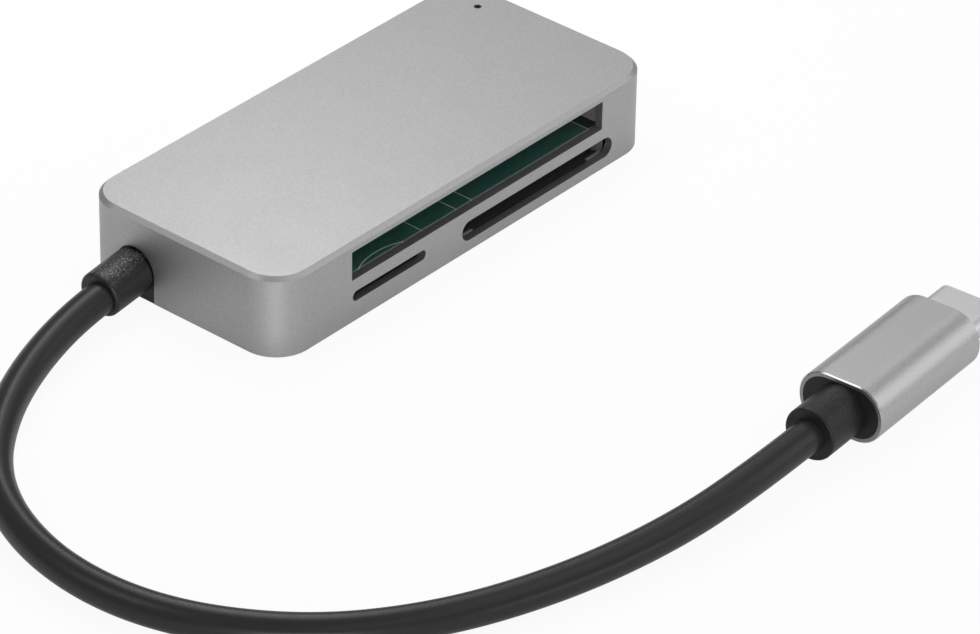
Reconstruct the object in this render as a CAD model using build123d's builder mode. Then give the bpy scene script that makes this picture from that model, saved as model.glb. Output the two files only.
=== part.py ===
from build123d import *
import os
from math import cos, pi, radians, sin, tan

# USB memory card reader: a flat aluminium housing with three card slots, a short cable and a USB-C plug.
# Millimetres. The origin lies on the table under the middle of the housing. +X runs along the housing away
# from the cable, the card slots face -Y, and +Z is up.

# Housing
housing_end_margin = 10.7      # from the widest slot's width to each end of the housing
housing_depth = 30.0
corner_radius = 4.75
wall = 1.0
top_wall = 1.0
edge_chamfer = 0.5
base_edge_break = 0.15

# Height stack, from the table up
base_thickness = 1.0
sd_floor_gap = 0.05
sd_floor = 0.45
sd_channel_height = 2.7
shell_thickness = 0.2          # stamped steel of both lower sockets
board_thickness = 1.2
bay_height = 3.9               # room for the widest card, above the board

# Card slots in the front wall, by the middle of each slot along X
cf_slot_x = 1.34
cf_slot_width = 43.6
cf_slot_sill = 0.05            # above the board
cf_slot_lip = 0.1              # below the bay's ceiling
sd_slot_x = 11.72
sd_slot_height = 2.58
microsd_slot_x = -14.12
microsd_slot_height = 1.29

# Light hole in the top, from the right end and from the back
light_hole_diameter = 0.9
light_inset_x = 3.9
light_inset_y = 6.2

# Cable notch in the left end
notch_radius = 2.85
notch_inset_y = 8.2            # from the back
notch_z = 3.7

# Base plate and its posts
housing_fit = 0.05
post_diameter = 3.2
post_inset_x = 3.1
post_inset_y = 2.6
post_clear_of_cable = 6.0      # along X, for the post behind the strain relief
screw_diameter = 1.5
screw_head_diameter = 2.8
screw_head_height = 0.8
screw_bite = 2.4
screw_clearance = 0.05
screw_recess_width = 0.4
screw_recess_length = 1.6
screw_recess_depth = 0.4

# Circuit board
board_gap = 0.25
board_hole_clearance = 0.2

# Widest card's header, with a guide arm at each side
guide_gap = 0.85               # from the slot's end to the arm
guide_thickness = 1.6
guide_front_gap = 0.5
header_gap = 0.1               # under the ceiling
header_thickness = 4.5
pin_count = 25
pin_pitch = 1.27
pin_row_spacing = 1.27
pin_size = 0.45
pin_reach = 5.0
pin_clearance = 0.02
pin_tail_gap = 0.5
pin_tail_step = 1.0
pin_tail_room = 2.55           # from the tails to the back wall

# Middle card's socket
sd_channel_width = 24.4
sd_slot_margin = 1.15          # slot beyond the channel, at each end
sd_length = 23.4
sd_back = 2.0
socket_front_gap = 0.1
sd_lip_length = 2.0
sd_lip_depth = 0.35
sd_lip_rise = 0.1
shell_flare = 0.6
shell_flare_length = 1.1
sd_contact_count = 9
sd_contact_pitch = 2.5
sd_contact_width = 1.1
sd_contact_reach = 9.0
sd_contact_rise = 0.9

# Small card's socket
microsd_channel_width = 11.4
microsd_slot_margin = 0.48
microsd_channel_height = 1.7
microsd_floor = 0.5
microsd_length = 14.6
microsd_back = 1.4
microsd_contact_count = 8
microsd_contact_pitch = 1.1
microsd_contact_width = 0.6
microsd_contact_reach = 6.0
microsd_contact_rise = 0.6

# Spring contacts of both lower sockets
contact_thickness = 0.15
contact_tail_gap = 0.3
contact_bend_share = 0.45      # share of the reach that lies flat
contact_edge_gap = 0.03

# Parts soldered to the board
chip_size = 6.0
chip_height = 0.85
chip_behind_microsd = 6.5
crystal_length = 3.2
crystal_width = 2.5
crystal_height = 0.8
regulator_length = 2.9
regulator_width = 1.6
regulator_height = 1.1
small_part_gap = 1.2
capacitor_length = 1.6
capacitor_width = 0.8
capacitor_height = 0.8
capacitor_count = 5
capacitor_pitch = 2.2
resistor_length = 1.0
resistor_width = 0.5
resistor_height = 0.35
resistor_count = 6
resistor_pitch = 1.1
led_length = 1.6
led_width = 0.8
led_height = 0.6

# Strain relief
boot_length = 6.35
boot_fit = 0.05                # all round, inside the notch's outline
boot_taper = 0.04              # on the diameter
boot_root_round = 0.15
boot_end_round = 0.45
boot_groove_width = 0.25       # between the housing and the boot
boot_groove_depth = 0.4
stem_depth = 0.3               # of the boot's stem, into the notch
boot_lean_side = 3.5           # degrees towards the front
boot_lean_down = 4.2           # degrees
notch_fit = 0.1
neck_recess = 0.2
flange_thickness = 2.0
flange_margin = 1.0
flange_gap = 0.3
wire_diameter = 0.7
wire_count = 6
wire_pitch = 0.8
wire_length = 6.5

# Cable, and the points between its end runs: X and Y from the middle of the notch, and lift off the table
cable_diameter = 3.9
cable_float = 0.02
cable_exit_aside = 0.25        # towards the front, from the middle of the boot's end
cable_exit_drop = 0.1
cable_first_run = 7.15
cable_last_run = 8.25
cable_points = [
    (-27.9, -6.7, 0.20),
    (-39.3, -16.0, 0.02),
    (-45.3, -29.9, 0.00),
    (-44.8, -44.7, 0.00),
    (-37.4, -58.2, 0.00),
    (-26.1, -67.4, 0.05),
    (-12.2, -73.2, 0.25),
    (2.5, -76.4, 0.75),
]
arc_share = 0.45

# Plug, placed by the middle of its sleeve's rear end, from the middle of the notch
plug_x = 30.96
plug_y = -75.87
plug_turn = 3.8                # degrees from +X
plug_width = 10.9
plug_thickness = 7.2
plug_length = 19.6
sleeve_side_flat = 0.2         # between the round corners of a side
sleeve_wall = 0.55
sleeve_edge = 0.15
core_gap = 0.05
core_front_recess = 0.2
plug_boot_length = 6.2
plug_boot_inset = 0.43         # its radius is this much less than half the sleeve's thickness
plug_boot_aside = 0.1          # towards the front, from the middle of the sleeve
plug_boot_drop = 0.2
plug_boot_round = 0.25
usb_width = 8.34
usb_height = 2.56
usb_length = 6.65
usb_root = 3.0
usb_wall = 0.3
usb_edge = 0.25
usb_mouth_margin = 0.82        # at each side of the mouth
usb_mouth_height = 1.25
usb_mouth_depth = 5.6
usb_contact_count = 12
usb_contact_pitch = 0.5
usb_contact_width = 0.25
usb_contact_height = 0.22
usb_contact_length = 3.6
usb_contact_setback = 1.2
usb_latch_depth = 0.3
usb_latch_height = 0.7
usb_latch_length = 4.0
plug_board_width = 8.0
plug_board_thickness = 0.8
plug_board_length = 8.0

# Levels and outlines that follow from these sizes
housing_length = cf_slot_width + 2 * housing_end_margin
inner_length = housing_length - 2 * wall
inner_depth = housing_depth - 2 * wall
front_face = -housing_depth / 2
front_inside = front_face + wall
back_face = housing_depth / 2
back_inside = back_face - wall
left_face = -housing_length / 2
left_inside = left_face + wall
right_face = housing_length / 2
sd_floor_top = base_thickness + sd_floor_gap + sd_floor
socket_ceiling = sd_floor_top + sd_channel_height
board_bottom = socket_ceiling + shell_thickness
board_top = board_bottom + board_thickness
bay_ceiling = board_top + bay_height
housing_height = bay_ceiling + top_wall
microsd_floor_top = socket_ceiling - microsd_channel_height

cf_slot_height = bay_height - cf_slot_sill - cf_slot_lip
cf_slot_z = board_top + cf_slot_sill + cf_slot_height / 2
sd_slot_width = sd_channel_width + 2 * sd_slot_margin
sd_slot_z = socket_ceiling - sd_channel_height / 2
microsd_slot_width = microsd_channel_width + 2 * microsd_slot_margin
microsd_slot_z = socket_ceiling - microsd_channel_height / 2
light_x = right_face - light_inset_x
light_y = back_face - light_inset_y
notch_y = back_face - notch_inset_y
sleeve_corner = (plug_thickness - sleeve_side_flat) / 2
plug_boot_radius = plug_thickness / 2 - plug_boot_inset
usb_mouth_width = usb_width - 2 * usb_mouth_margin

front_post_y = front_inside + post_inset_y
back_post_y = back_inside - post_inset_y
near_post_x = left_inside + post_inset_x
far_post_x = right_face - wall - post_inset_x
post_places = [
    (near_post_x, front_post_y),
    (far_post_x, front_post_y),
    (far_post_x, back_post_y),
    (left_inside + post_clear_of_cable, back_post_y),
]


def inside_outline(gap):
    """The housing's inside, drawn this far from its walls."""
    return RectangleRounded(inner_length - 2 * gap, inner_depth - 2 * gap, corner_radius - wall - gap)


def sleeve_outline(inset):
    """The plug sleeve's section, drawn this far inside its surface."""
    return RectangleRounded(plug_width - 2 * inset, plug_thickness - 2 * inset, sleeve_corner - inset)


def row_places(middle, count, pitch):
    """X of each member of an even row."""
    return [middle + (i - (count - 1) / 2) * pitch for i in range(count)]


def across_places(places, width):
    """One side-view plane at each place, for members of this width."""
    return [Plane.YZ.offset(x - width / 2) for x in places]


# Housing: one aluminium cup, open below
with BuildPart() as housing:
    with BuildSketch():
        RectangleRounded(housing_length, housing_depth, corner_radius)
    extrude(amount=housing_height)
    chamfer(housing.faces().sort_by(Axis.Z)[-1].edges(), edge_chamfer)
    chamfer(housing.faces().sort_by(Axis.Z)[0].edges(), base_edge_break)
    with BuildSketch():
        inside_outline(0)
    extrude(amount=bay_ceiling, mode=Mode.SUBTRACT)
    with BuildSketch(Plane.XZ.offset(-front_face)):
        with Locations((cf_slot_x, cf_slot_z)):
            Rectangle(cf_slot_width, cf_slot_height)
        with Locations((sd_slot_x, sd_slot_z)):
            SlotOverall(sd_slot_width, sd_slot_height)
        with Locations((microsd_slot_x, microsd_slot_z)):
            SlotOverall(microsd_slot_width, microsd_slot_height)
    extrude(amount=-wall, mode=Mode.SUBTRACT)
    with BuildSketch(Plane.YZ.offset(left_face)):
        with Locations((notch_y, notch_z)):
            Circle(notch_radius)
        with Locations((notch_y, notch_z / 2)):
            Rectangle(2 * notch_radius, notch_z)
    extrude(amount=wall, mode=Mode.SUBTRACT)
    with Locations((light_x, light_y, housing_height)):
        Hole(light_hole_diameter / 2, depth=top_wall)

# Base plate: closes the housing from below, with a post under each corner of the board
with BuildPart() as base_plate:
    with BuildSketch():
        inside_outline(housing_fit)
    extrude(amount=base_thickness)
    with BuildSketch(Plane.XY.offset(base_thickness)):
        with Locations(*post_places):
            Circle(post_diameter / 2)
    extrude(amount=board_bottom - base_thickness)
    with BuildSketch(Plane.XY.offset(board_bottom)):
        with Locations(*post_places):
            Circle(screw_diameter / 2 + screw_clearance)
    extrude(amount=-screw_bite - screw_clearance, mode=Mode.SUBTRACT)

# Circuit board: cut out round the strain relief's flange
flange_width = 2 * (notch_radius + flange_margin)
with BuildPart() as circuit_board:
    with BuildSketch(Plane.XY.offset(board_bottom)):
        inside_outline(board_gap)
        with Locations((left_inside, notch_y)):
            Rectangle(2 * (flange_thickness + flange_gap), flange_width + 2 * flange_gap, mode=Mode.SUBTRACT)
        with Locations(*post_places):
            Circle(screw_diameter / 2 + board_hole_clearance, mode=Mode.SUBTRACT)
    extrude(amount=board_thickness)

with BuildPart() as board_screws:
    with BuildSketch(Plane.XY.offset(board_top)):
        with Locations(*post_places):
            Circle(screw_head_diameter / 2)
    extrude(amount=screw_head_height)
    with BuildSketch(Plane.XY.offset(board_top)):
        with Locations(*post_places):
            Circle(screw_diameter / 2)
    extrude(amount=-board_thickness - screw_bite)
    with BuildSketch(Plane.XY.offset(board_top + screw_head_height)):
        with Locations(*post_places):
            Rectangle(screw_recess_length, screw_recess_width)
            Rectangle(screw_recess_width, screw_recess_length)
    extrude(amount=-screw_recess_depth, mode=Mode.SUBTRACT)

# Widest card: header with two rows of pins, and a guide arm at each side
header_back = back_inside - pin_tail_room - pin_size - pin_tail_step - pin_tail_gap
header_face = header_back - header_thickness
header_top = bay_ceiling - header_gap
guide_offset = cf_slot_width / 2 + guide_gap
arm_front = front_inside + guide_front_gap
header_mid_z = (board_top + header_top) / 2
pin_rows = [header_mid_z - pin_row_spacing / 2, header_mid_z + pin_row_spacing / 2]
pin_places = row_places(cf_slot_x, pin_count, pin_pitch)

with BuildPart() as cf_header:
    with BuildSketch(Plane.XY.offset(board_top)):
        with Locations((cf_slot_x, (header_face + header_back) / 2)):
            Rectangle(2 * (guide_offset + guide_thickness), header_thickness)
        with Locations((cf_slot_x, (arm_front + header_face) / 2)):
            with GridLocations(2 * guide_offset + guide_thickness, 1, 2, 1):
                Rectangle(guide_thickness, header_face - arm_front)
    extrude(amount=header_top - board_top)
    with BuildSketch(Plane.XZ.offset(-header_face)):
        with Locations(*[(x, z) for x in pin_places for z in pin_rows]):
            Rectangle(pin_size + 2 * pin_clearance, pin_size + 2 * pin_clearance)
    extrude(amount=-header_thickness, mode=Mode.SUBTRACT)

with BuildPart() as cf_pins:
    for row, pin_z in enumerate(pin_rows):
        tail = header_back + pin_tail_gap + row * pin_tail_step
        low = pin_z - pin_size / 2
        high = pin_z + pin_size / 2
        tip = header_face - pin_reach
        with BuildSketch(*across_places(pin_places, pin_size)):
            with BuildLine():
                Polyline(
                    (tip, high),
                    (tail + pin_size, high),
                    (tail + pin_size, board_top),
                    (tail, board_top),
                    (tail, low),
                    (tip, low),
                    close=True,
                )
            make_face()
        extrude(amount=pin_size)


def contact_outline(back, floor, reach, rise):
    """Side view (Y, Z) of a spring contact: a tail up to the board, a flat run and a raised tip."""
    tail = back + contact_tail_gap
    bend = back - contact_bend_share * reach
    tip = back - reach
    over = floor + contact_thickness
    return [
        (tail, floor),
        (tail + contact_thickness, floor),
        (tail + contact_thickness, board_bottom),
        (tail, board_bottom),
        (tail, over),
        (bend, over),
        (tip, floor + rise),
        (tip, floor + rise - contact_thickness),
        (bend, floor),
    ]


socket_front = front_inside + socket_front_gap

# Middle card: black floor and back wall under a steel shell with flared sides and two front lips
sd_half = sd_channel_width / 2
sd_back_face = socket_front + sd_length
flare_back = socket_front + shell_flare_length
sd_contact_x = row_places(sd_slot_x, sd_contact_count, sd_contact_pitch)

with BuildPart() as sd_socket_frame:
    with BuildSketch(Plane.XY.offset(sd_floor_top - sd_floor)):
        with Locations((sd_slot_x, (socket_front + sd_lip_depth + sd_back_face) / 2)):
            Rectangle(sd_channel_width, sd_length - sd_lip_depth)
    extrude(amount=sd_floor)
    with BuildSketch(Plane.XY.offset(sd_floor_top)):
        with Locations((sd_slot_x, sd_back_face - sd_back / 2)):
            Rectangle(sd_channel_width, sd_back)
    extrude(amount=sd_channel_height)
    with BuildSketch(Plane.XZ.offset(-sd_back_face)):
        with Locations(*[(x, sd_floor_top + contact_thickness / 2) for x in sd_contact_x]):
            Rectangle(sd_contact_width + 2 * contact_edge_gap, contact_thickness)
    extrude(amount=sd_back, mode=Mode.SUBTRACT)

with BuildPart() as sd_socket_shell:
    with BuildSketch(Plane.XY.offset(socket_ceiling)):
        with Locations((sd_slot_x, (socket_front + sd_back_face) / 2)):
            Rectangle(sd_channel_width + 2 * shell_thickness, sd_length)
    extrude(amount=shell_thickness)
    for side in (-1, 1):
        near = sd_slot_x + side * sd_half
        far = near + side * shell_thickness
        lip_end = near - side * sd_lip_length
        lip_root = near + side * shell_flare * (1 - sd_lip_depth / shell_flare_length)
        with BuildSketch(Plane.XY.offset(sd_floor_top - sd_floor)):
            with BuildLine():
                Polyline(
                    (near, sd_back_face),
                    (near, flare_back),
                    (near + side * shell_flare, socket_front),
                    (far + side * shell_flare, socket_front),
                    (far, flare_back),
                    (far, sd_back_face),
                    close=True,
                )
            make_face()
        extrude(amount=socket_ceiling - sd_floor_top + sd_floor)
        with BuildSketch(Plane.XY.offset(sd_floor_top - sd_floor)):
            with BuildLine():
                Polyline(
                    (lip_end, socket_front),
                    (near + side * shell_flare, socket_front),
                    (lip_root, socket_front + sd_lip_depth),
                    (lip_end, socket_front + sd_lip_depth),
                    close=True,
                )
            make_face()
        extrude(amount=sd_floor + sd_lip_rise)

sd_contact_side = contact_outline(sd_back_face, sd_floor_top, sd_contact_reach, sd_contact_rise)
with BuildPart() as sd_contacts:
    with BuildSketch(*across_places(sd_contact_x, sd_contact_width)):
        with BuildLine():
            Polyline(*sd_contact_side, close=True)
        make_face()
    extrude(amount=sd_contact_width)

# Small card: black floor and back wall under a steel shell
microsd_back_face = socket_front + microsd_length
microsd_contact_x = row_places(microsd_slot_x, microsd_contact_count, microsd_contact_pitch)

with BuildPart() as microsd_socket_frame:
    with BuildSketch(Plane.XY.offset(microsd_floor_top - microsd_floor)):
        with Locations((microsd_slot_x, (socket_front + microsd_back_face) / 2)):
            Rectangle(microsd_channel_width, microsd_length)
    extrude(amount=microsd_floor)
    with BuildSketch(Plane.XY.offset(microsd_floor_top)):
        with Locations((microsd_slot_x, microsd_back_face - microsd_back / 2)):
            Rectangle(microsd_channel_width, microsd_back)
    extrude(amount=microsd_channel_height)
    with BuildSketch(Plane.XZ.offset(-microsd_back_face)):
        with Locations(*[(x, microsd_floor_top + contact_thickness / 2) for x in microsd_contact_x]):
            Rectangle(microsd_contact_width + 2 * contact_edge_gap, contact_thickness)
    extrude(amount=microsd_back, mode=Mode.SUBTRACT)

microsd_bottom = microsd_floor_top - microsd_floor
microsd_left = microsd_slot_x - microsd_channel_width / 2
microsd_right = microsd_slot_x + microsd_channel_width / 2
with BuildPart() as microsd_socket_shell:
    with BuildSketch(Plane.XZ.offset(-socket_front)):
        with BuildLine():
            Polyline(
                (microsd_left - shell_thickness, microsd_bottom),
                (microsd_left - shell_thickness, board_bottom),
                (microsd_right + shell_thickness, board_bottom),
                (microsd_right + shell_thickness, microsd_bottom),
                (microsd_right, microsd_bottom),
                (microsd_right, socket_ceiling),
                (microsd_left, socket_ceiling),
                (microsd_left, microsd_bottom),
                close=True,
            )
        make_face()
    extrude(amount=-microsd_length)

microsd_contact_side = contact_outline(
    microsd_back_face, microsd_floor_top, microsd_contact_reach, microsd_contact_rise
)
with BuildPart() as microsd_contacts:
    with BuildSketch(*across_places(microsd_contact_x, microsd_contact_width)):
        with BuildLine():
            Polyline(*microsd_contact_side, close=True)
        make_face()
    extrude(amount=microsd_contact_width)

# Parts soldered under the board, behind the small card's socket, and on it, right of the widest card
chip_x = microsd_slot_x
chip_y = microsd_back_face + chip_behind_microsd
crystal_x = chip_x - chip_size / 2 - small_part_gap - crystal_length / 2
regulator_x = chip_x + chip_size / 2 + small_part_gap + regulator_width / 2
resistor_y = chip_y - chip_size / 2 - small_part_gap

with BuildPart() as controller_chip:
    with BuildSketch(Plane.XY.offset(board_bottom)):
        with Locations((chip_x, chip_y)):
            Rectangle(chip_size, chip_size)
    extrude(amount=-chip_height)

with BuildPart() as crystal:
    with BuildSketch(Plane.XY.offset(board_bottom)):
        with Locations((crystal_x, chip_y)):
            Rectangle(crystal_length, crystal_width)
    extrude(amount=-crystal_height)

with BuildPart() as voltage_regulator:
    with BuildSketch(Plane.XY.offset(board_bottom)):
        with Locations((regulator_x, chip_y)):
            Rectangle(regulator_width, regulator_length)
    extrude(amount=-regulator_height)

with BuildPart() as resistors:
    with BuildSketch(Plane.XY.offset(board_bottom)):
        with Locations((chip_x, resistor_y)):
            with GridLocations(resistor_pitch, 1, resistor_count, 1):
                Rectangle(resistor_width, resistor_length)
    extrude(amount=-resistor_height)

with BuildPart() as capacitors:
    with BuildSketch(Plane.XY.offset(board_top)):
        with Locations((light_x, 0)):
            with GridLocations(1, capacitor_pitch, 1, capacitor_count):
                Rectangle(capacitor_length, capacitor_width)
    extrude(amount=capacitor_height)

with BuildPart() as status_led:
    with BuildSketch(Plane.XY.offset(board_top)):
        with Locations((light_x, light_y)):
            Rectangle(led_length, led_width)
    extrude(amount=led_height)

# Strain relief: flange inside the housing, neck in the notch, and a leaning boot on a short stem
boot_root = Vector(left_face, notch_y, notch_z)
boot_direction = Vector(
    -cos(radians(boot_lean_down)) * cos(radians(boot_lean_side)),
    -cos(radians(boot_lean_down)) * sin(radians(boot_lean_side)),
    -sin(radians(boot_lean_down)),
)
boot_end = boot_root + boot_direction * boot_length
boot_start = boot_root + boot_direction * boot_groove_width
boot_root_radius = notch_radius - boot_fit
boot_end_radius = boot_root_radius - boot_taper / 2
stem_start = boot_root - boot_direction * stem_depth
stem_radius = boot_root_radius - boot_groove_depth
neck_radius = notch_radius - notch_fit
flange_top = notch_z + notch_radius + flange_margin

with BuildPart() as boot:
    with BuildSketch(Plane(origin=boot_start, z_dir=boot_direction)):
        Circle(boot_root_radius)
    with BuildSketch(Plane(origin=boot_end, z_dir=boot_direction)):
        Circle(boot_end_radius)
    loft()
    fillet(boot.faces().sort_by(Axis.X)[-1].edges(), boot_root_round)
    fillet(boot.faces().sort_by(Axis.X)[0].edges(), boot_end_round)

with BuildPart() as strain_relief:
    with BuildSketch(Plane.YZ.offset(left_inside)):
        with Locations((notch_y, (base_thickness + flange_top) / 2)):
            Rectangle(flange_width, flange_top - base_thickness)
    extrude(amount=flange_thickness)
    with BuildSketch():
        inside_outline(housing_fit)
    extrude(amount=housing_height, mode=Mode.INTERSECT)
    with BuildSketch(Plane.YZ.offset(left_face + neck_recess)):
        with Locations((notch_y, notch_z)):
            Circle(neck_radius)
        with Locations((notch_y, notch_z / 2)):
            Rectangle(2 * neck_radius, notch_z)
    extrude(amount=wall - neck_recess + housing_fit)
    with BuildSketch(Plane(origin=stem_start, z_dir=boot_direction)):
        Circle(stem_radius)
    extrude(amount=stem_depth + boot_groove_width)
    add(boot.part)

with BuildPart() as signal_wires:
    with BuildSketch(Plane.YZ.offset(left_inside + flange_thickness)):
        with Locations((notch_y, board_bottom - wire_diameter / 2)):
            with GridLocations(wire_pitch, 1, wire_count, 1):
                Circle(wire_diameter / 2)
    extrude(amount=wire_length)

# Plug frame: from the middle of the sleeve's rear end, along the plug to its tip
plug_direction = Vector(cos(radians(plug_turn)), sin(radians(plug_turn)), 0)
plug_across = Vector(-sin(radians(plug_turn)), cos(radians(plug_turn)), 0)
plug_rear = Vector(left_face + plug_x, notch_y + plug_y, plug_thickness / 2)
plug_plane = Plane(origin=plug_rear, x_dir=plug_across, z_dir=plug_direction)
plug_boot_root = plug_rear - plug_across * plug_boot_aside - Vector(0, 0, plug_boot_drop)
plug_boot_end = plug_boot_root - plug_direction * plug_boot_length

# Cable: straight out of the boot, along the table and up to the plug
lying_height = cable_diameter / 2 + cable_float
cable_start = boot_end - Vector(0, cable_exit_aside, cable_exit_drop)
cable_route = [cable_start, cable_start + boot_direction * cable_first_run]
cable_route += [Vector(left_face + x, notch_y + y, lying_height + lift) for x, y, lift in cable_points]
cable_route += [plug_boot_end - plug_direction * cable_last_run, plug_boot_end]

cable_radii = []
for before, corner, after in zip(cable_route, cable_route[1:], cable_route[2:]):
    turn = (corner - before).get_angle(after - corner)
    shorter_run = min((corner - before).length, (after - corner).length)
    cable_radii.append(arc_share * shorter_run / tan(radians(turn / 2)))
print("cable radii", [round(radius, 1) for radius in cable_radii])

with BuildPart() as cable:
    with BuildLine() as cable_line:
        FilletPolyline(*cable_route, radius=cable_radii)
    with BuildSketch(Plane(origin=cable_start, z_dir=boot_direction)):
        Circle(cable_diameter / 2)
    sweep(path=cable_line.wire())
cable_length = cable_line.wire().length
print("cable length", cable_length)
print("cable volume", cable.part.volume, "section times length", pi * cable_diameter**2 / 4 * cable_length)

# Plug sleeve: an aluminium tube with round sides
with BuildPart() as plug_sleeve:
    with BuildSketch(plug_plane):
        sleeve_outline(0)
    extrude(amount=plug_length)
    chamfer(plug_sleeve.faces().sort_by(Axis.X)[0].edges(), sleeve_edge)
    chamfer(plug_sleeve.faces().sort_by(Axis.X)[-1].edges(), sleeve_edge)
    with BuildSketch(plug_plane):
        sleeve_outline(sleeve_wall)
    extrude(amount=plug_length, mode=Mode.SUBTRACT)

# Black core in the sleeve, in one piece with the boot, moulded round the tongue's root and the board
usb_start = plug_length - usb_root
board_start = usb_start - plug_board_length

with BuildPart() as plug_overmould:
    with BuildSketch(plug_plane):
        sleeve_outline(sleeve_wall + core_gap)
    extrude(amount=plug_length - core_front_recess)
    with BuildSketch(Plane(origin=plug_boot_end, z_dir=plug_direction)):
        Circle(plug_boot_radius)
    extrude(amount=plug_boot_length)
    fillet(plug_overmould.faces().sort_by(Axis.X)[0].edges(), plug_boot_round)
    with BuildSketch(plug_plane.offset(usb_start)):
        SlotOverall(usb_width, usb_height)
    extrude(amount=usb_root, mode=Mode.SUBTRACT)
    with BuildSketch(plug_plane.offset(board_start)):
        Rectangle(plug_board_width, plug_board_thickness)
    extrude(amount=plug_board_length, mode=Mode.SUBTRACT)

with BuildPart() as plug_board:
    with BuildSketch(plug_plane.offset(board_start)):
        Rectangle(plug_board_width, plug_board_thickness)
    extrude(amount=plug_board_length)

# Tongue of the plug: steel shell, black liner with a mouth, contacts above and below, a latch at each side
usb_tip = plug_length + usb_length

with BuildPart() as usb_c_shell:
    with BuildSketch(plug_plane.offset(usb_start)):
        SlotOverall(usb_width, usb_height)
    extrude(amount=usb_root + usb_length)
    fillet(usb_c_shell.faces().sort_by(Axis.X)[-1].edges(), usb_edge)
    with BuildSketch(plug_plane.offset(usb_start)):
        SlotOverall(usb_width - 2 * usb_wall, usb_height - 2 * usb_wall)
    extrude(amount=usb_root + usb_length, mode=Mode.SUBTRACT)

with BuildPart() as usb_c_insulator:
    with BuildSketch(plug_plane.offset(usb_start)):
        SlotOverall(usb_width - 2 * usb_wall, usb_height - 2 * usb_wall)
    extrude(amount=usb_root + usb_length - usb_edge)
    with BuildSketch(plug_plane.offset(usb_tip)):
        Rectangle(usb_mouth_width, usb_mouth_height)
    extrude(amount=-usb_mouth_depth, mode=Mode.SUBTRACT)

with BuildPart() as usb_c_contacts:
    with BuildSketch(plug_plane.offset(usb_tip - usb_contact_setback)):
        for side in (-1, 1):
            with Locations((0, side * (usb_mouth_height - usb_contact_height) / 2)):
                with GridLocations(usb_contact_pitch, 1, usb_contact_count, 1):
                    Rectangle(usb_contact_width, usb_contact_height)
    extrude(amount=-usb_contact_length)

with BuildPart() as usb_c_latches:
    with BuildSketch(plug_plane.offset(usb_tip - usb_contact_setback)):
        with GridLocations(usb_mouth_width - usb_latch_depth, 1, 2, 1):
            Rectangle(usb_latch_depth, usb_latch_height)
    extrude(amount=-usb_latch_length)

pieces = {
    "housing": housing,
    "base_plate": base_plate,
    "circuit_board": circuit_board,
    "board_screws": board_screws,
    "cf_header": cf_header,
    "cf_pins": cf_pins,
    "sd_socket_frame": sd_socket_frame,
    "sd_socket_shell": sd_socket_shell,
    "sd_contacts": sd_contacts,
    "microsd_socket_frame": microsd_socket_frame,
    "microsd_socket_shell": microsd_socket_shell,
    "microsd_contacts": microsd_contacts,
    "controller_chip": controller_chip,
    "crystal": crystal,
    "voltage_regulator": voltage_regulator,
    "resistors": resistors,
    "capacitors": capacitors,
    "status_led": status_led,
    "strain_relief": strain_relief,
    "signal_wires": signal_wires,
    "cable": cable,
    "plug_sleeve": plug_sleeve,
    "plug_overmould": plug_overmould,
    "plug_board": plug_board,
    "usb_c_shell": usb_c_shell,
    "usb_c_insulator": usb_c_insulator,
    "usb_c_contacts": usb_c_contacts,
    "usb_c_latches": usb_c_latches,
}

os.makedirs("parts", exist_ok=True)
for name, piece in pieces.items():
    piece.part.label = name
    export_step(piece.part, f"parts/{name}.step")
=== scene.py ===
from math import cos, radians, sin

import bpy
from mathutils import Matrix, Vector


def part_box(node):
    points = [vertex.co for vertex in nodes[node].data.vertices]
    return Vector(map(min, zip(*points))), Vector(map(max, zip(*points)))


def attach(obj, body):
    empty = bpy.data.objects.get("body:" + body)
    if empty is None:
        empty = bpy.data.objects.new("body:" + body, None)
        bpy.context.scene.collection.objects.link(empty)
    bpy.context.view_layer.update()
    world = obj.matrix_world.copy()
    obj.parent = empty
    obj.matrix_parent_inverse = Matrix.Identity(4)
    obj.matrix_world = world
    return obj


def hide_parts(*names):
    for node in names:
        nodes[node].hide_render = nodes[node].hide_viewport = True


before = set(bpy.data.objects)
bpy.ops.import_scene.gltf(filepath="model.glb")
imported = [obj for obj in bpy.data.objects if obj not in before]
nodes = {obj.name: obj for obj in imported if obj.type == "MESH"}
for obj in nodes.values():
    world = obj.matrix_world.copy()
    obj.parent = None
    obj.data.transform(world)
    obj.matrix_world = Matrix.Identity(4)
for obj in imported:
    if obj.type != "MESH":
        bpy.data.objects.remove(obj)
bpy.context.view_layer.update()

# USB memory card reader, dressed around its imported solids. Metres; the frame is the solids' own.
mm = 0.001

# Camera, as the photograph was taken: a long lens from the front left
photo_width = 980                     # in pixels
photo_focal_length = 5711.2           # in the photograph's pixels
sensor_width = 36.0                   # in millimetres, as the lens is
camera_place = Vector((-0.41939, -0.369044, 0.350906))
camera_azimuth = radians(-50.0684)
camera_elevation = radians(33.2594)
camera_roll = radians(1.1138)

# The housing's boot, and where the cable leaves it
notch_middle = Vector((-32.5, 6.8, 3.7)) * mm
boot_lean_side = radians(3.5)
boot_lean_down = radians(4.2)
boot_length = 6.35 * mm
cable_exit_aside = 0.25 * mm          # towards the front, from the middle of the boot's end
cable_exit_drop = 0.1 * mm

# The plug, and its boot at the cable's far end
plug_rear = Vector((-1.54, -69.07, 3.6)) * mm
plug_turn = radians(3.8)
plug_boot_length = 6.2 * mm
plug_boot_aside = 0.1 * mm            # towards the front, from the middle of the sleeve
plug_boot_drop = 0.2 * mm

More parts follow.
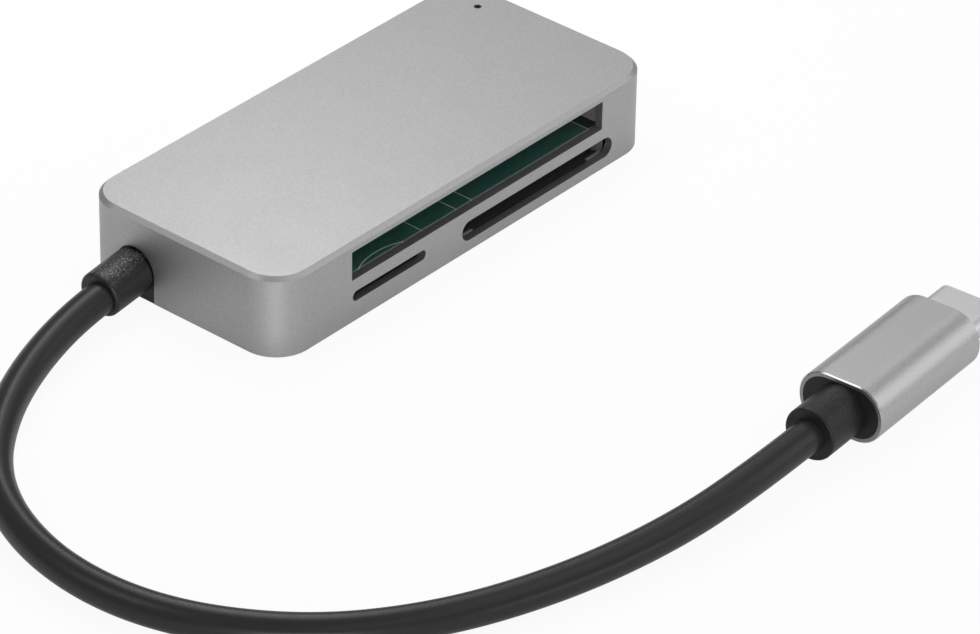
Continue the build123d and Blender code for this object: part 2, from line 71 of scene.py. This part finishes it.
# The cable, on its solid's own points: X and Y from the middle of the notch, and lift off the table, in mm
cable_diameter = 3.9 * mm
cable_float = 0.02 * mm               # over the table, where the cable lies
cable_first_run = 7.15 * mm
cable_last_run = 8.25 * mm
cable_points = [
    (-27.9, -6.7, 0.20),
    (-39.3, -16.0, 0.02),
    (-45.3, -29.9, 0.00),
    (-44.8, -44.7, 0.00),
    (-37.4, -58.2, 0.00),
    (-26.1, -67.4, 0.05),
    (-12.2, -73.2, 0.25),
    (2.5, -76.4, 0.75),
]
cable_steps_round = 10
cable_steps_along = 24                # between two points

# The sleeve's finish at its ends, with painted shade on the cut ends
sleeve_length = 19.6 * mm
bevel_depth = 0.17 * mm               # of the polished bevels
cut_depth = 0.01 * mm                 # of the cut ends
polished_roughness = 0.22
cut_roughness = 0.42
cut_painted_shade = 0.7                       # painted shade on the cut ends: their colour is this times the sleeve's own

# Where painted highlights go on the card sockets' shells: their lips, at the foot of the mouth
shell_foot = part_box("sd_socket_shell")[0]
lip_height = 0.56 * mm
lip_depth = 0.5 * mm
lip_added_roughness = 0.25

# The circuit board's print: a faint line along its front edge, lines across the strip behind it, and an arc
board_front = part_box("circuit_board")[0].y
edge_line_width = 0.1 * mm
edge_line_share = 0.4
printed_strip = 2.8 * mm              # from the board's front edge
printed_width = 0.12 * mm
printed_lines = [-7.28 * mm, -1.3 * mm, 1.4 * mm, 22.2 * mm]
printed_arc_middle = (-14.2 * mm, -21.82 * mm)
printed_arc_radius = 8.9 * mm
print_relief = 0.02 * mm
darker_end_colour = (0.014, 0.03, 0.026)     # the board's darker colour beyond the last of those lines

# Fine detail of the surfaces: sizes, heights of relief, and how far roughness swings about its middle
fine_detail = 3.0                     # more steps of detail than a plain noise has
moulded_harshness = 0.6               # weight of those steps, in moulded grain
cloud_size = 6 * mm
mottle_size = 0.6 * mm
smear_size = 0.3 * mm
chip_grain_size = 0.12 * mm
streak_size = 0.1 * mm
smear_relief = 0.006 * mm
chip_relief = 0.004 * mm
streak_relief = 0.004 * mm
shell_relief = 0.002 * mm
cloud_swing = 0.02
sleeve_swing = 0.04
mottle_swing = 0.05
streak_swing = 0.05
grain_swing = 0.06
smear_swing = 0.06
chip_swing = 0.08
painted_glint_range = (0.55, 0.7)             # of the noise, from no painted glint to a full one
painted_glint_facing = (0.6, 0.95)            # how far up a surface faces, from no painted glints to all of them
tinned_share = 0.3                    # of half a chip's length, at each end

# The floor
floor_half = 4.0
floor_sink = 0.1 * mm
floor_grey = 0.82
floor_share_seen = 0.93               # how much of the floor's look is plain white, the rest lit
floor_share_reflected = 0.4

# Light: an even level from all round, and soft boxes that face the origin
world_level = 0.33
soft_boxes = {                        # place, width, height and watts
    "key_light": ((0.03, 0.06, 0.24), 0.12, 0.12, 0.135),
    "high_right_light": ((0.4, 0, 0.51), 0.35, 0.35, 0.14),
    "high_front_light": ((0.2, -0.25, 0.62), 0.3, 0.3, 0.35),
    "near_light": ((0.03, 0.06, 0.13), 0.06, 0.06, 0.04),
    "far_light": ((0.28, 0.13, 0.34), 0.3, 0.3, 0.17),
    "far_spot": ((0.245, 0.234, 0.27), 0.07, 0.07, 0.055),
    "right_light": ((0.62, -0.47, 0.36), 0.45, 0.4, 0.8),
    "low_right_light": ((0.47, -0.51, 0.12), 0.25, 0.1, 0.13),
    "back_light": ((-0.5, 0.3, 0.63), 0.35, 0.35, 0.95),
    "front_light": ((-0.05, -0.55, 0.65), 1.0, 0.35, 0.85),
    "low_front_light": ((0.08, -0.7, 0.08), 0.4, 0.15, 0.5),
    "corner_light": ((-0.6, -0.5, 0.05), 0.12, 0.08, 2.5),
}


def make_camera():
    """The photograph's camera: its place, the way it looks and its lens."""
    back = Vector((
        sin(camera_azimuth) * cos(camera_elevation),
        -cos(camera_azimuth) * cos(camera_elevation),
        sin(camera_elevation),
    ))
    level = Vector((cos(camera_azimuth), sin(camera_azimuth), 0))
    right = level * cos(camera_roll) + back.cross(level) * sin(camera_roll)
    up = back.cross(right)
    data = bpy.data.cameras.new("camera")
    data.sensor_width = sensor_width
    data.lens = photo_focal_length / photo_width * sensor_width
    camera = bpy.data.objects.new("camera", data)
    turn = Matrix((right, up, back)).transposed().to_4x4()
    camera.matrix_world = Matrix.Translation(camera_place) @ turn
    bpy.context.scene.collection.objects.link(camera)
    bpy.context.scene.camera = camera


# Cable

def cable_route():
    """Control points from the end of the housing's boot to the end of the plug's."""
    out = Vector((
        -cos(boot_lean_down) * cos(boot_lean_side),
        -cos(boot_lean_down) * sin(boot_lean_side),
        -sin(boot_lean_down),
    ))
    along = Vector((cos(plug_turn), sin(plug_turn), 0))
    across = Vector((-sin(plug_turn), cos(plug_turn), 0))
    start = notch_middle + out * boot_length - Vector((0, cable_exit_aside, cable_exit_drop))
    plug_boot_root = plug_rear - across * plug_boot_aside - Vector((0, 0, plug_boot_drop))
    end = plug_boot_root - along * plug_boot_length
    lying = cable_diameter / 2 + cable_float
    middle = [Vector((notch_middle.x + x * mm, notch_middle.y + y * mm, lying + lift * mm))
              for x, y, lift in cable_points]
    return [start, start + out * cable_first_run, *middle, end - along * cable_last_run, end]


def make_cable():
    """The cable as one smooth tube along its route."""
    route = cable_route()
    data = bpy.data.curves.new("cable_jacket", "CURVE")
    data.dimensions = "3D"
    data.bevel_depth = 1.0               # times each point's radius
    data.bevel_resolution = cable_steps_round
    data.use_fill_caps = True
    spline = data.splines.new("NURBS")
    spline.points.add(len(route) - 1)
    for point, spot in zip(spline.points, route):
        point.co = (*spot, 1)
        point.radius = cable_diameter / 2
    spline.order_u = 3
    spline.use_endpoint_u = True
    spline.resolution_u = cable_steps_along
    spline.use_smooth = True
    cable = bpy.data.objects.new("cable_jacket", data)
    bpy.context.scene.collection.objects.link(cable)
    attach(cable, "root")
    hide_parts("cable")
    return cable


# Node helpers

def new_material(name):
    """A material with one principled shader: the material, its tree and the shader."""
    material = bpy.data.materials.new(name)
    material.use_nodes = True
    tree = material.node_tree
    return material, tree, tree.nodes["Principled BSDF"]


def add(tree, kind, inputs, **settings):
    """A node with these settings, whose inputs are values or other nodes' sockets."""
    node = tree.nodes.new(kind)
    for key, value in settings.items():
        setattr(node, key, value)
    for key, value in inputs.items():
        if isinstance(value, bpy.types.NodeSocket):
            tree.links.new(value, node.inputs[key])
        else:
            node.inputs[key].default_value = value
    return node


def place(tree):
    """Place on the object, in metres in the shared frame."""
    return add(tree, "ShaderNodeTexCoord", {}).outputs["Object"]


def noise(tree, where, size, detail=2.0, harshness=0.5):
    """Soft noise with features of this size."""
    inputs = {"Vector": where, "Scale": 1 / size, "Detail": detail, "Roughness": harshness}
    return add(tree, "ShaderNodeTexNoise", inputs).outputs["Fac"]


def spread(tree, value, low, high, start=0.3, stop=0.7):
    """A value's range, a noise's middle unless another is given, spread from low to high."""
    inputs = {"Value": value, "From Min": start, "From Max": stop, "To Min": low, "To Max": high}
    return add(tree, "ShaderNodeMapRange", inputs).outputs["Result"]


def calc(tree, operation, *values):
    """A sum, product or test of values."""
    return add(tree, "ShaderNodeMath", dict(enumerate(values)), operation=operation).outputs[0]


def calc_vector(tree, operation, first, second):
    """A sum, product or measure of two places, as a node's outputs."""
    return add(tree, "ShaderNodeVectorMath", {0: first, 1: second}, operation=operation).outputs


def axes(tree, where):
    """X, Y and Z of a place."""
    return add(tree, "ShaderNodeSeparateXYZ", {"Vector": where}).outputs


def blend(tree, amount, low, high):
    """A colour between two, by this amount. Each is a colour or another node's socket."""
    low, high = [end if isinstance(end, bpy.types.NodeSocket) else (*end, 1) for end in (low, high)]
    return add(tree, "ShaderNodeMix", {"Factor": amount, 6: low, 7: high}, data_type="RGBA").outputs[2]


def paint(tree, shader, colour):
    """Gives the shader its colour, from another node's socket."""
    tree.links.new(colour, shader.inputs["Base Color"])


def roughen(tree, shader, value, middle, swing):
    """Gives the shader a roughness that follows a noise, this far to either side of its middle."""
    tree.links.new(spread(tree, value, middle - swing, middle + swing), shader.inputs["Roughness"])


def bump(tree, shader, height, distance, strength=1.0):
    """Small relief of this height, in metres."""
    node = add(tree, "ShaderNodeBump", {"Height": height, "Distance": distance, "Strength": strength})
    tree.links.new(node.outputs["Normal"], shader.inputs["Normal"])


# Materials

def grey(level):
    """A colour with no hue."""
    return (level, level, level)


def blasted_aluminium(name, dark, light, grain_size, relief, roughness):
    """Sand-blasted, anodised aluminium: fine pits, with faint cloudiness in its sheen."""
    material, tree, shader = new_material(name)
    where = place(tree)
    grain = noise(tree, where, grain_size)
    cloud = noise(tree, where, cloud_size, fine_detail)
    paint(tree, shader, blend(tree, spread(tree, grain, 0, 1), dark, light))
    roughen(tree, shader, cloud, roughness, cloud_swing)
    shader.inputs["Metallic"].default_value = 1.0
    bump(tree, shader, grain, relief)
    return material


def moulded_plastic(name, dark, light, grain_size, relief, roughness, sheen=0.5):
    """Moulded plastic or rubber with a fine grain, glossier on its peaks."""
    material, tree, shader = new_material(name)
    grain = noise(tree, place(tree), grain_size, fine_detail, moulded_harshness)
    paint(tree, shader, blend(tree, spread(tree, grain, 0, 1), dark, light))
    roughen(tree, shader, grain, roughness, -grain_swing)
    shader.inputs["Specular IOR Level"].default_value = sheen
    bump(tree, shader, grain, relief)
    return material


def rubber_with_painted_glints(name, dark, light, painted_glint, painted_glint_size, grain_size, relief, roughness, sheen):
    """Spark-eroded rubber: a fine grain, with painted glints, pale specks where the surface faces up."""
    material, tree, shader = new_material(name)
    where = place(tree)
    grain = noise(tree, where, grain_size, fine_detail, moulded_harshness)
    painted_glints = spread(tree, noise(tree, where, painted_glint_size), 0, 1, *painted_glint_range)
    facing = axes(tree, add(tree, "ShaderNodeNewGeometry", {}).outputs["Normal"])["Z"]
    glint_side = spread(tree, facing, 0, 1, *painted_glint_facing)
    body = blend(tree, spread(tree, grain, 0, 1), dark, light)
    paint(tree, shader, blend(tree, calc(tree, "MULTIPLY", painted_glints, glint_side), body, painted_glint))
    roughen(tree, shader, grain, roughness, -grain_swing)
    shader.inputs["Specular IOR Level"].default_value = sheen
    bump(tree, shader, grain, relief)
    return material


def sleeve_aluminium(name, dark, light, grain_size, relief, roughness):
    """The plug sleeve: blasted aluminium with polished bevels and smooth cut ends, darkened by painted
    shade.
    """
    material, tree, shader = new_material(name)
    where = place(tree)
    grain = noise(tree, where, grain_size)
    from_rear = calc_vector(tree, "SUBTRACT", where, plug_rear)["Vector"]
    along = (cos(plug_turn), sin(plug_turn), 0)
    run = calc_vector(tree, "DOT_PRODUCT", from_rear, along)["Value"]
    from_middle = calc(tree, "ABSOLUTE", calc(tree, "SUBTRACT", run, sleeve_length / 2))
    to_end = calc(tree, "SUBTRACT", sleeve_length / 2, from_middle)
    smooth = calc(tree, "LESS_THAN", to_end, bevel_depth)
    cut = calc(tree, "LESS_THAN", to_end, cut_depth)
    blasted = blend(tree, spread(tree, grain, 0, 1), dark, light)
    # The cut ends get a darker copy of the sleeve's colour: painted shade.
    paint(tree, shader, blend(tree, cut, blasted, [channel * cut_painted_shade for channel in dark]))
    surface = spread(tree, grain, roughness - sleeve_swing, roughness + sleeve_swing)
    surface = calc(tree, "MULTIPLY_ADD", smooth, polished_roughness - roughness, surface)
    surface = calc(tree, "MULTIPLY_ADD", cut, cut_roughness - polished_roughness, surface)
    tree.links.new(surface, shader.inputs["Roughness"])
    shader.inputs["Metallic"].default_value = 1.0
    bump(tree, shader, grain, relief, calc(tree, "SUBTRACT", 1.0, smooth))
    return material


def solder_mask(name, dark, light, ink, roughness):
    """The circuit board: green solder mask with print on the strip at its front edge."""
    material, tree, shader = new_material(name)
    where = place(tree)
    x, y, z = axes(tree, where)
    mottle = noise(tree, where, mottle_size, fine_detail)
    edge_line = calc(tree, "COMPARE", y, board_front, edge_line_width)
    printed = calc(tree, "MULTIPLY", edge_line, edge_line_share)
    for line_x in printed_lines:
        line = calc(tree, "COMPARE", x, line_x, printed_width / 2)
        printed = calc(tree, "MAXIMUM", printed, line)
    arc_x, arc_y = printed_arc_middle
    arc_middle = add(tree, "ShaderNodeCombineXYZ", {0: arc_x, 1: arc_y, 2: z}).outputs[0]
    reach = calc_vector(tree, "DISTANCE", where, arc_middle)["Value"]
    arc = calc(tree, "COMPARE", reach, printed_arc_radius, printed_width / 2)
    printed = calc(tree, "MAXIMUM", printed, arc)
    on_strip = calc(tree, "LESS_THAN", y, board_front + printed_strip)
    printed = calc(tree, "MULTIPLY", printed, on_strip)
    darker_end = calc(tree, "GREATER_THAN", x, printed_lines[-1])
    green = blend(tree, spread(tree, mottle, 0, 1), dark, light)
    green = blend(tree, darker_end, green, darker_end_colour)
    paint(tree, shader, blend(tree, printed, green, ink))
    roughen(tree, shader, mottle, roughness, mottle_swing)
    bump(tree, shader, printed, print_relief)
    return material


def tinned_ends(name, node, axis, dark, light, tin, roughness):
    """Small chips of one row: a body with a tinned cap at each end along this axis."""
    material, tree, shader = new_material(name)
    where = place(tree)
    low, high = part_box(node)
    middle = (low[axis] + high[axis]) / 2
    half = (high[axis] - low[axis]) / 2
    from_middle = calc(tree, "ABSOLUTE", calc(tree, "SUBTRACT", axes(tree, where)[axis], middle))
    capped = calc(tree, "GREATER_THAN", from_middle, half * (1 - tinned_share))
    grain = noise(tree, where, chip_grain_size)
    body = blend(tree, spread(tree, grain, 0, 1), dark, light)
    paint(tree, shader, blend(tree, capped, body, tin))
    tree.links.new(capped, shader.inputs["Metallic"])
    roughen(tree, shader, grain, roughness, chip_swing)
    bump(tree, shader, grain, chip_relief)
    return material


def coloured_cores(name, node, colours, roughness):
    """The cable's cores side by side, each in its own colour of insulation."""
    material, tree, shader = new_material(name)
    where = place(tree)
    low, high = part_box(node)
    share = spread(tree, axes(tree, where)["Y"], 0, 1, low.y, high.y)
    ramp = add(tree, "ShaderNodeValToRGB", {"Fac": share})
    ramp.color_ramp.interpolation = "CONSTANT"
    stops = ramp.color_ramp.elements
    stops.remove(stops[1])
    stops[0].color = (*colours[0], 1)
    for i, colour in enumerate(colours[1:], 1):
        stops.new(i / len(colours)).color = (*colour, 1)
    smear = noise(tree, where, smear_size)
    paint(tree, shader, ramp.outputs["Color"])
    roughen(tree, shader, smear, roughness, smear_swing)
    bump(tree, shader, smear, smear_relief)
    return material


def drawn_metal(name, dark, light, stretch, roughness):
    """Stamped or drawn metal: fine streaks along one axis."""
    material, tree, shader = new_material(name)
    stretched = calc_vector(tree, "MULTIPLY", place(tree), stretch)["Vector"]
    streaks = noise(tree, stretched, streak_size)
    paint(tree, shader, blend(tree, spread(tree, streaks, 0, 1), dark, light))
    roughen(tree, shader, streaks, roughness, streak_swing)
    shader.inputs["Metallic"].default_value = 1.0
    bump(tree, shader, streaks, streak_relief)
    return material


def steel_with_painted_light(name, dark, light, lip_highlight_dark, lip_highlight_light, stretch, roughness):
    """The card sockets' shells: stamped steel darkened by painted shade, with painted highlights on the lips
    at the foot of the mouth.
    """
    material, tree, shader = new_material(name)
    where = place(tree)
    stretched = calc_vector(tree, "MULTIPLY", where, stretch)["Vector"]
    streaks = spread(tree, noise(tree, stretched, streak_size), 0, 1)
    at = axes(tree, where)
    low = calc(tree, "LESS_THAN", at["Z"], shell_foot.z + lip_height)
    highlit_lip = calc(tree, "MULTIPLY", low, calc(tree, "LESS_THAN", at["Y"], shell_foot.y + lip_depth))
    # The shell's dark colour is painted shade; the lips' pale colour is painted highlight.
    body = blend(tree, streaks, dark, light)
    paint(tree, shader, blend(tree, highlit_lip, body, blend(tree, streaks, lip_highlight_dark, lip_highlight_light)))
    surface = spread(tree, streaks, roughness - streak_swing, roughness + streak_swing, 0, 1)
    surface = calc(tree, "MULTIPLY_ADD", highlit_lip, lip_added_roughness, surface)
    tree.links.new(surface, shader.inputs["Roughness"])
    shader.inputs["Metallic"].default_value = 1.0
    bump(tree, shader, streaks, shell_relief)
    return material


def dress(material, *names):
    """Gives these nodes this material."""
    for name in names:
        slots = nodes[name].data.materials
        slots.clear()
        slots.append(material)


def dress_metal():
    """The housing, the plug's sleeve and tongue, and the metal inside."""
    dress(blasted_aluminium("housing_aluminium", grey(0.355), (0.415, 0.413, 0.413),
                            grain_size=0.18 * mm, relief=0.006 * mm, roughness=0.5),
          "housing")
    dress(sleeve_aluminium("plug_aluminium", grey(0.39), grey(0.47),
                           grain_size=0.2 * mm, relief=0.007 * mm, roughness=0.4),
          "plug_sleeve")
    along_x = (0.2, 1, 1)
    along_y = (1, 0.05, 1)
    dress(drawn_metal("plug_steel", grey(0.55), grey(0.61), stretch=along_x, roughness=0.45),
          "usb_c_shell")
    dress(drawn_metal("socket_steel", grey(0.6), grey(0.72), stretch=along_y, roughness=0.45),
          "board_screws", "crystal", "usb_c_latches")
    # Dark greys: painted shade on the shells; pale greys: painted highlights on their lips.
    dress(steel_with_painted_light("shell_steel", grey(0.1), grey(0.14), grey(0.4), grey(0.5),
                       stretch=along_y, roughness=0.5),
          "sd_socket_shell", "microsd_socket_shell")
    dress(drawn_metal("contact_gold", (0.6, 0.42, 0.16), (0.8, 0.6, 0.28), stretch=along_y, roughness=0.3),
          "cf_pins", "sd_contacts", "microsd_contacts", "usb_c_contacts")


def dress_plastic():
    """The base, the sockets' plastic and the light."""
    dress(moulded_plastic("base_plastic", (0.04, 0.04, 0.042), (0.06, 0.06, 0.063),
                          grain_size=0.2 * mm, relief=0.02 * mm, roughness=0.6),
          "base_plate")
    dress(moulded_plastic("header_plastic", (0.14, 0.13, 0.12), (0.18, 0.166, 0.152),
                          grain_size=0.3 * mm, relief=0.01 * mm, roughness=0.55),
          "cf_header")
    dress(moulded_plastic("socket_plastic", grey(0.03), grey(0.045),
                          grain_size=0.2 * mm, relief=0.01 * mm, roughness=0.5),
          "sd_socket_frame", "microsd_socket_frame", "usb_c_insulator")
    dress(moulded_plastic("led_resin", (0.7, 0.7, 0.62), (0.85, 0.85, 0.78),
                          grain_size=0.2 * mm, relief=0.002 * mm, roughness=0.2),
          "status_led")


def dress_board():
    """The circuit boards, the chips on them and the cores soldered to them."""
    dress(solder_mask("solder_mask", (0.024, 0.085, 0.067), (0.036, 0.122, 0.095),
                      ink=(0.6, 0.68, 0.64), roughness=0.4),
          "circuit_board", "plug_board")
    dress(moulded_plastic("chip_plastic", (0.015, 0.015, 0.016), (0.03, 0.03, 0.031),
                          grain_size=0.1 * mm, relief=0.01 * mm, roughness=0.6),
          "controller_chip", "voltage_regulator")
    tin = (0.68, 0.67, 0.65)
    dress(tinned_ends("chip_resistor", "resistors", 1, (0.012, 0.012, 0.013), (0.022, 0.022, 0.023),
                      tin, roughness=0.4),
          "resistors")
    dress(tinned_ends("chip_capacitor", "capacitors", 0, (0.38, 0.26, 0.15), (0.48, 0.34, 0.21),
                      tin, roughness=0.4),
          "capacitors")
    black, red, green = (0.02, 0.02, 0.02), (0.5, 0.04, 0.03), (0.03, 0.3, 0.07)
    white, blue, yellow = (0.75, 0.75, 0.72), (0.03, 0.09, 0.4), (0.7, 0.5, 0.04)
    dress(coloured_cores("wire_insulation", "signal_wires", [black, red, green, white, blue, yellow],
                         roughness=0.35),
          "signal_wires")


def dress_rubber(cable):
    """The two boots and the cable."""
    # The speck colours are painted glints on the boots' upper sides.
    dress(rubber_with_painted_glints("boot_rubber", grey(0.007), grey(0.012), painted_glint=grey(0.3), painted_glint_size=0.12 * mm,
                          grain_size=0.2 * mm, relief=0.05 * mm, roughness=0.38, sheen=0.32),
          "strain_relief")
    dress(rubber_with_painted_glints("plug_rubber", grey(0.006), grey(0.01), painted_glint=grey(0.06), painted_glint_size=0.12 * mm,
                          grain_size=0.2 * mm, relief=0.03 * mm, roughness=0.42, sheen=0.28),
          "plug_overmould")
    jacket = moulded_plastic("cable_rubber", grey(0.015), grey(0.019),
                             grain_size=0.3 * mm, relief=0.003 * mm, roughness=0.33, sheen=0.22)
    cable.data.materials.append(jacket)


# Stage

def floor_white():
    """Plain white to the camera and in part to reflections, and lit for the rest, which keeps the shadow."""
    material = bpy.data.materials.new("floor_white")
    material.use_nodes = True
    tree = material.node_tree
    tree.nodes.clear()
    path = add(tree, "ShaderNodeLightPath", {}).outputs
    seen = calc(tree, "ADD", path["Is Camera Ray"], path["Is Transmission Ray"])
    bare = calc(tree, "MULTIPLY", seen, floor_share_seen)
    share = add(tree, "ShaderNodeMath", {0: path["Is Glossy Ray"], 1: floor_share_reflected, 2: bare},
                operation="MULTIPLY_ADD", use_clamp=True)
    lit = add(tree, "ShaderNodeBsdfDiffuse", {"Color": (*grey(floor_grey), 1)})
    white = add(tree, "ShaderNodeEmission", {"Color": (1, 1, 1, 1), "Strength": 1.0})
    mixed = add(tree, "ShaderNodeMixShader", {0: share.outputs[0], 1: lit.outputs[0], 2: white.outputs[0]})
    add(tree, "ShaderNodeOutputMaterial", {"Surface": mixed.outputs[0]})
    return material


def make_floor():
    """A white floor just under the object, with the object's soft shadow on it."""
    corners = [(-1, -1), (1, -1), (1, 1), (-1, 1)]
    mesh = bpy.data.meshes.new("floor")
    mesh.from_pydata([(x * floor_half, y * floor_half, -floor_sink) for x, y in corners], [], [(0, 1, 2, 3)])
    mesh.materials.append(floor_white())
    floor = bpy.data.objects.new("floor", mesh)
    bpy.context.scene.collection.objects.link(floor)


def make_soft_box(name, spot, width, height, watts):
    """A rectangular soft light that faces the origin."""
    data = bpy.data.lights.new(name, "AREA")
    data.shape = "RECTANGLE"
    data.size = width
    data.size_y = height
    data.energy = watts
    lamp = bpy.data.objects.new(name, data)
    lamp.location = spot
    lamp.rotation_mode = "QUATERNION"
    lamp.rotation_quaternion = (-Vector(spot)).to_track_quat("-Z", "Y")
    bpy.context.scene.collection.objects.link(lamp)


def make_world():
    """Even light from all round."""
    world = bpy.data.worlds.new("studio")
    world.use_nodes = True
    background = world.node_tree.nodes["Background"]
    background.inputs["Color"].default_value = (1, 1, 1, 1)
    background.inputs["Strength"].default_value = world_level
    bpy.context.scene.world = world


make_camera()
cable_jacket = make_cable()
dress_metal()
dress_plastic()
dress_board()
dress_rubber(cable_jacket)
make_floor()
make_world()
for light_name, light in soft_boxes.items():
    make_soft_box(light_name, *light)
bpy.context.scene.view_settings.view_transform = "Standard"
